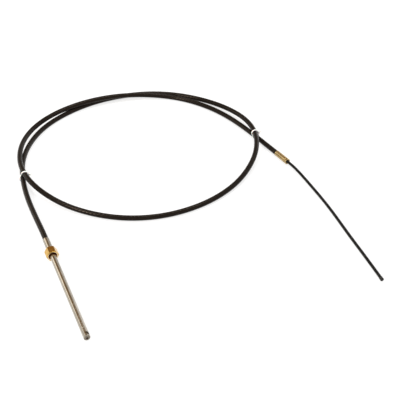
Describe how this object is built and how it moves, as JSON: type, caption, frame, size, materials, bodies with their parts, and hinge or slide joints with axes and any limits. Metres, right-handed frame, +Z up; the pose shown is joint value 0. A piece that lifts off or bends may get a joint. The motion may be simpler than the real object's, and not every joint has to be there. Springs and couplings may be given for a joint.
{
  "type": "boat steering cable",
  "caption": "Push-pull boat steering cable laid in loose turns and tied, with telescopic ram, captive hex nut, brass ferrule and bare wound core",
  "frame": {"origin": "On the floor under the middle of the box round the laid-out cable", "axes": "+Z up from the floor; +X towards the bare end of the core; +Y from the ram's tip towards the far side of the coil"},
  "size_m": [0.9981, 1.1497, 0.0338],
  "materials": {
    "conduit_plastic": "satin black extruded jacket",
    "core_wire": "dark greased helical wire",
    "dark_steel": "dark swaged steel",
    "bright_steel": "polished stainless steel",
    "dull_steel": "plain drawn steel",
    "nut_brass": "machined bright brass",
    "ferrule_brass": "crimped satin brass",
    "tie_nylon": "moulded white nylon"
  },
  "bodies": {
    "cable_body": {"conduit": "conduit_plastic", "core": "core_wire", "core_end_ring": "dark_steel", "end_sleeve": "bright_steel", "guide_tube": "dull_steel", "helm_ferrule": "ferrule_brass", "tie_left": "tie_nylon", "tie_right": "tie_nylon"},
    "ram_body": {"ram": "bright_steel"},
    "nut_body": {"coupling_nut": "nut_brass"}
  },
  "joints": [
    {"name": "ram_slide", "type": "slide", "parent": "cable_body", "child": "ram_body", "axis": [0.3761, -0.9263, -0.0206], "range_m": [0, 0.228]},
    {"name": "nut_spin", "type": "hinge", "parent": "cable_body", "child": "nut_body", "pos_m": [-0.33261, -0.27765, 0.01455], "axis": [0.3761, -0.9263, -0.0206], "continuous": true}
  ]
}
